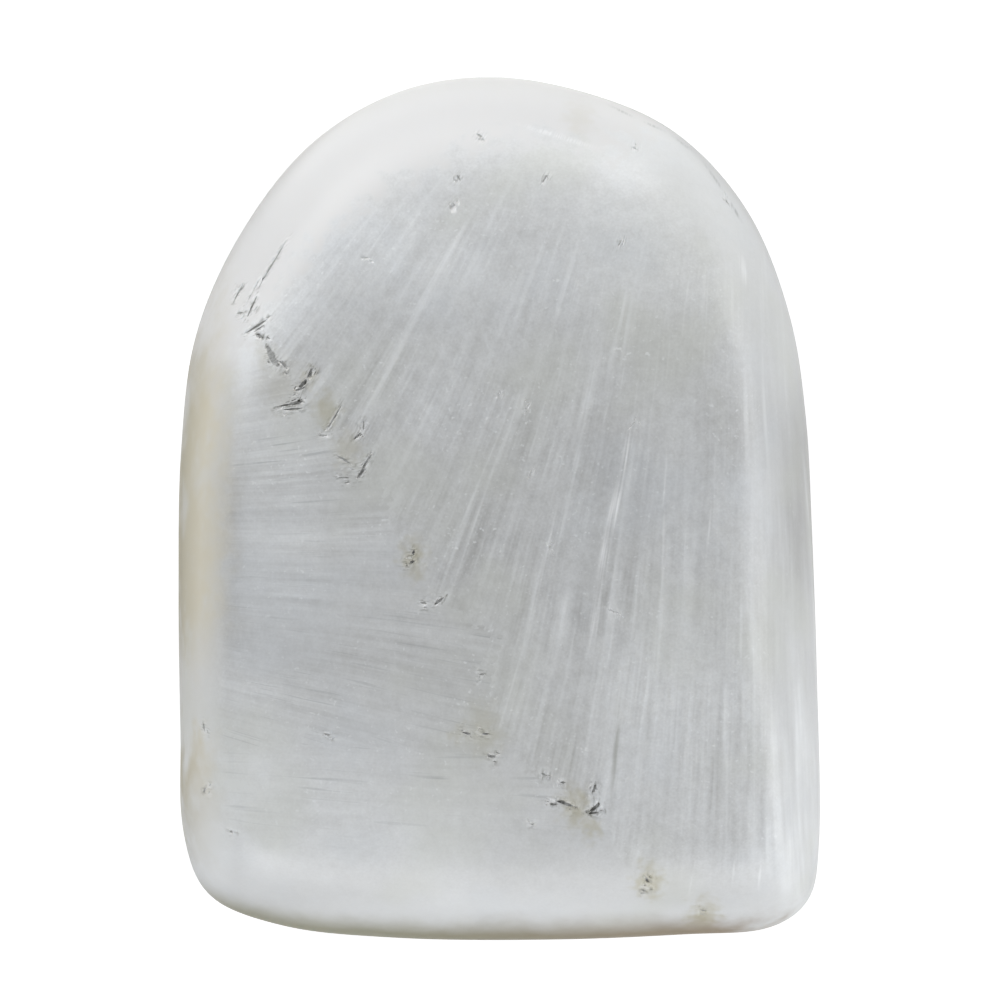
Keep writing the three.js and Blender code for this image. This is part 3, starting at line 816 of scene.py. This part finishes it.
upper = add(silk, "ShaderNodeMapRange", {0: spot["Z"], 1: 12.5, 2: 15.5, 3: 0, 4: 1})
warm = add(silk, "ShaderNodeMath", {0: warm, 1: upper}, operation="MULTIPLY")
coats.append((warm, linear("#aba586")))

# the left flank is creamy, save where a band of white crosses it, near the arch and at the corner
# of the straight end, and it is worn white in patches lower down
patches = {0: patchy, 1: 0.35, 2: 0.60, 3: 0.5, 4: 1}
patches = add(silk, "ShaderNodeMapRange", patches, **SMOOTH)
worn = add(silk, "ShaderNodeMapRange", {0: patchy, 1: 0.36, 2: 0.64, 3: 0.95, 4: 0.55})
worn = add(silk, "ShaderNodeMath", {0: under, 1: worn}, operation="MULTIPLY")
worn = add(silk, "ShaderNodeMath", {0: 1, 1: worn}, operation="SUBTRACT")
narrower = add(silk, "ShaderNodeMapRange", {0: spot["Y"], 1: -7, 2: -14, 3: 0, 4: 0.9})
beyond = {0: wandering["cream_beyond"], 1: narrower}
beyond = add(silk, "ShaderNodeMath", beyond, operation="ADD")
cream = {0: beyond, 1: -18.6, 2: -22.8, 3: 0, 4: 0.92}
cream = add(silk, "ShaderNodeMapRange", cream, **SMOOTH)
along = wandering["cream_along"]
band = add(silk, "ShaderNodeMath", {0: along, 1: CREAM_GAP}, operation="SUBTRACT")
band = add(silk, "ShaderNodeMath", {0: band}, operation="ABSOLUTE")
band = {0: band, 1: 0.5, 2: 5.5, 3: 0.30, 4: 1}
band = add(silk, "ShaderNodeMapRange", band, **SMOOTH)
below_arch = {0: along, 1: 3, 2: 19, 3: 1, 4: 0.2}
below_arch = add(silk, "ShaderNodeMapRange", below_arch, **SMOOTH)
off_corner = add(silk, "ShaderNodeMapRange", {0: along, 1: -21, 2: -26.5, 3: 1, 4: 0.15})
for share in (patches, band, below_arch, off_corner, worn):
    cream = add(silk, "ShaderNodeMath", {0: cream, 1: share}, operation="MULTIPLY")
# the cream darkens towards where the flank is widest, painted shade of the rim turning away from
# the light, and pales again lower down
cream_and_shade_tint = add(silk, "ShaderNodeMapRange", {0: spot["Z"], 1: 20.5, 2: 15.0, 3: 0, 4: 1})
pale_again = add(silk, "ShaderNodeMapRange", {0: spot["Z"], 1: 13.0, 2: 8.0, 3: 1, 4: 0.25})
cream_and_shade_tint = {0: cream_and_shade_tint, 1: pale_again}
cream_and_shade_tint = add(silk, "ShaderNodeMath", cream_and_shade_tint, operation="MULTIPLY")
cream_and_shade_tint = {0: cream_and_shade_tint, 6: linear(CREAM_AND_SHADE_TINTS[0]), 7: linear(CREAM_AND_SHADE_TINTS[1])}
cream_and_shade_tint = add(silk, "ShaderNodeMix", cream_and_shade_tint, data_type="RGBA").outputs[2]
coats.append((cream, cream_and_shade_tint))

# painted shade: where its rounding ends and its rim turns away from the light, the straight end is
# darkened to brown, olive towards the left, and the darkening fades in patches lower down
brown_end_shade_tint = add(silk, "ShaderNodeMapRange", {0: spot["X"], 1: -10, 2: 18, 3: 0, 4: 1})
brown_end_shade_tint = {0: brown_end_shade_tint, 6: linear(BROWN_END_SHADE_TINTS[0]), 7: linear(BROWN_END_SHADE_TINTS[1])}
brown_end_shade_tint = add(silk, "ShaderNodeMix", brown_end_shade_tint, data_type="RGBA").outputs[2]
brown_end_shade = BROWN_END_SHADE_MOST
rises = add(silk, "ShaderNodeMapRange", {0: spot["X"], 1: 0, 2: 14, 3: 0, 4: 0.2})
low_down = add(silk, "ShaderNodeMath", {0: wandering["rind_below"], 1: rises}, operation="ADD")
left_of = wandering["rind_left_of"]
limits = [(low_down, 17.2, 12.8), (spot["Y"], -27.0, -30.5), (left_of, 22.5, 15.5)]
for place, none_at, whole_at in limits:
    share = {0: place, 1: none_at, 2: whole_at, 3: 0, 4: 1}
    share = add(silk, "ShaderNodeMapRange", share, **SMOOTH)
    brown_end_shade = add(silk, "ShaderNodeMath", {0: brown_end_shade, 1: share}, operation="MULTIPLY")
brown_end_shade = add(silk, "ShaderNodeMath", {0: brown_end_shade, 1: worn}, operation="MULTIPLY")
coats.append((brown_end_shade, brown_end_shade_tint))

# painted shade: where the arch's rim turns down towards its widest, it is a thin grey
rim_shade = {0: spot["Z"], 1: 16.5, 2: 12.0, 3: 0, 4: 0.6}
rim_shade = add(silk, "ShaderNodeMapRange", rim_shade, **SMOOTH)
on_arch = add(silk, "ShaderNodeMapRange", {0: spot["Y"], 1: 14, 2: 22, 3: 0, 4: 1})
rim_shade = add(silk, "ShaderNodeMath", {0: rim_shade, 1: on_arch}, operation="MULTIPLY")
coats.append((rim_shade, linear("#b3b3b0")))

# bruised skin is crushed to a fine speckle of white chips and of pits, dark with dirt and painted
# shade, and torn places are chalky white, or dark with dirt and with painted shade of their hollows
torn = add(silk, "ShaderNodeAttribute", attribute_name="torn").outputs["Fac"]
dirt = add(silk, "ShaderNodeAttribute", attribute_name="dirt").outputs["Fac"]
bruise = add(silk, "ShaderNodeAttribute", attribute_name="bruise").outputs["Fac"]
chip_width, chip_run = CRUSHED
drawn_out = {0: distance, 1: chip_width / chip_run}
drawn_out = add(silk, "ShaderNodeMath", drawn_out, operation="MULTIPLY")
chips = {"Vector": across, "W": drawn_out, "Scale": 1 / chip_width, "Detail": 2}
chips = add(silk, "ShaderNodeTexNoise", chips, noise_dimensions="4D").outputs[0]
dirty_and_shaded = add(silk, "ShaderNodeMath", {0: bruise, 1: dirt}, operation="MULTIPLY")
crushed = {
    "chips": (chips, 0.50, 0.62, bruise, 0.30, "#f4f6f7"),
    "pits": (chips, 0.47, 0.36, dirty_and_shaded, 0.80, "#6f7067"),
}
for layer, low, high, where, most, tint in crushed.values():
    share = {0: layer, 1: low, 2: high, 3: 0, 4: most}
    share = add(silk, "ShaderNodeMapRange", share, **SMOOTH)
    share = add(silk, "ShaderNodeMath", {0: share, 1: where}, operation="MULTIPLY")
    coats.append((share, linear(tint)))
caked = add(silk, "ShaderNodeMapRange", {0: chips, 1: 0.35, 2: 0.6, 3: 1.15, 4: 0.45})
caked = add(silk, "ShaderNodeMath", {0: caked, 1: dirt}, operation="MULTIPLY", use_clamp=True)
bared = {0: caked, 6: linear("#d6d8d8"), 7: linear("#2c2a20")}
bared = add(silk, "ShaderNodeMix", bared, data_type="RGBA").outputs[2]
coats.append((torn, bared))

for share, tint in coats:
    white = {0: share, 6: white, 7: tint}
    white = add(silk, "ShaderNodeMix", white, data_type="RGBA").outputs[2]
silk.links.new(white, shader.inputs["Base Color"])

# the polish is a little less even across the needles, and torn places have none
gloss = add(silk, "ShaderNodeMath", {0: streaks["needle"], 1: 0.5}, operation="SUBTRACT")
gloss = add(silk, "ShaderNodeMath", {0: gloss, 1: shown}, operation="MULTIPLY")
gloss = add(silk, "ShaderNodeMath", {0: gloss, 1: 0.10, 2: 0.33}, operation="MULTIPLY_ADD")
gloss = add(silk, "ShaderNodeMix", {0: torn, 2: gloss, 3: 0.8})
silk.links.new(gloss.outputs[0], shader.inputs["Roughness"])
relief = {0: streaks["hair"], 1: 0.5, 2: streaks["needle"]}
relief = add(silk, "ShaderNodeMath", relief, operation="MULTIPLY_ADD")
depth = add(silk, "ShaderNodeMath", {0: shown, 1: 0.15}, operation="MULTIPLY")
relief = {"Strength": depth, "Distance": 0.03 * MM, "Height": relief}
relief = add(silk, "ShaderNodeBump", relief)
silk.links.new(relief.outputs[0], shader.inputs["Normal"])
shader.inputs["IOR"].default_value = 1.52
shader.inputs["Subsurface Weight"].default_value = 0.35
shader.inputs["Subsurface Radius"].default_value = (1.0, 0.95, 0.85)
shader.inputs["Subsurface Scale"].default_value = 1.6 * MM

# the two trees in turn, then one plain mesh
lapping = stone.modifiers.new("lapped form", "NODES")
lapping.node_group = form
torn_needles = stone.modifiers.new("torn needles", "NODES")
torn_needles.node_group = tearing
LAPPED = {**FORM, "Finish": scolecite}
TORN = {**TEARING, "Gaps": gap_points, "Finish": scolecite}
for modifier, values in ((lapping, LAPPED), (torn_needles, TORN)):
    sockets = modifier.node_group.interface.items_tree
    identifiers = {item.name: item.identifier for item in sockets if item.in_out == "INPUT"}
    for name, value in values.items():
        modifier[identifiers[name]] = value

evaluated = stone.evaluated_get(bpy.context.evaluated_depsgraph_get())
stone_mesh = bpy.data.meshes.new_from_object(evaluated)
stone.modifiers.clear()
stone.data = stone_mesh

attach(stone, "root")
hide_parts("stone")
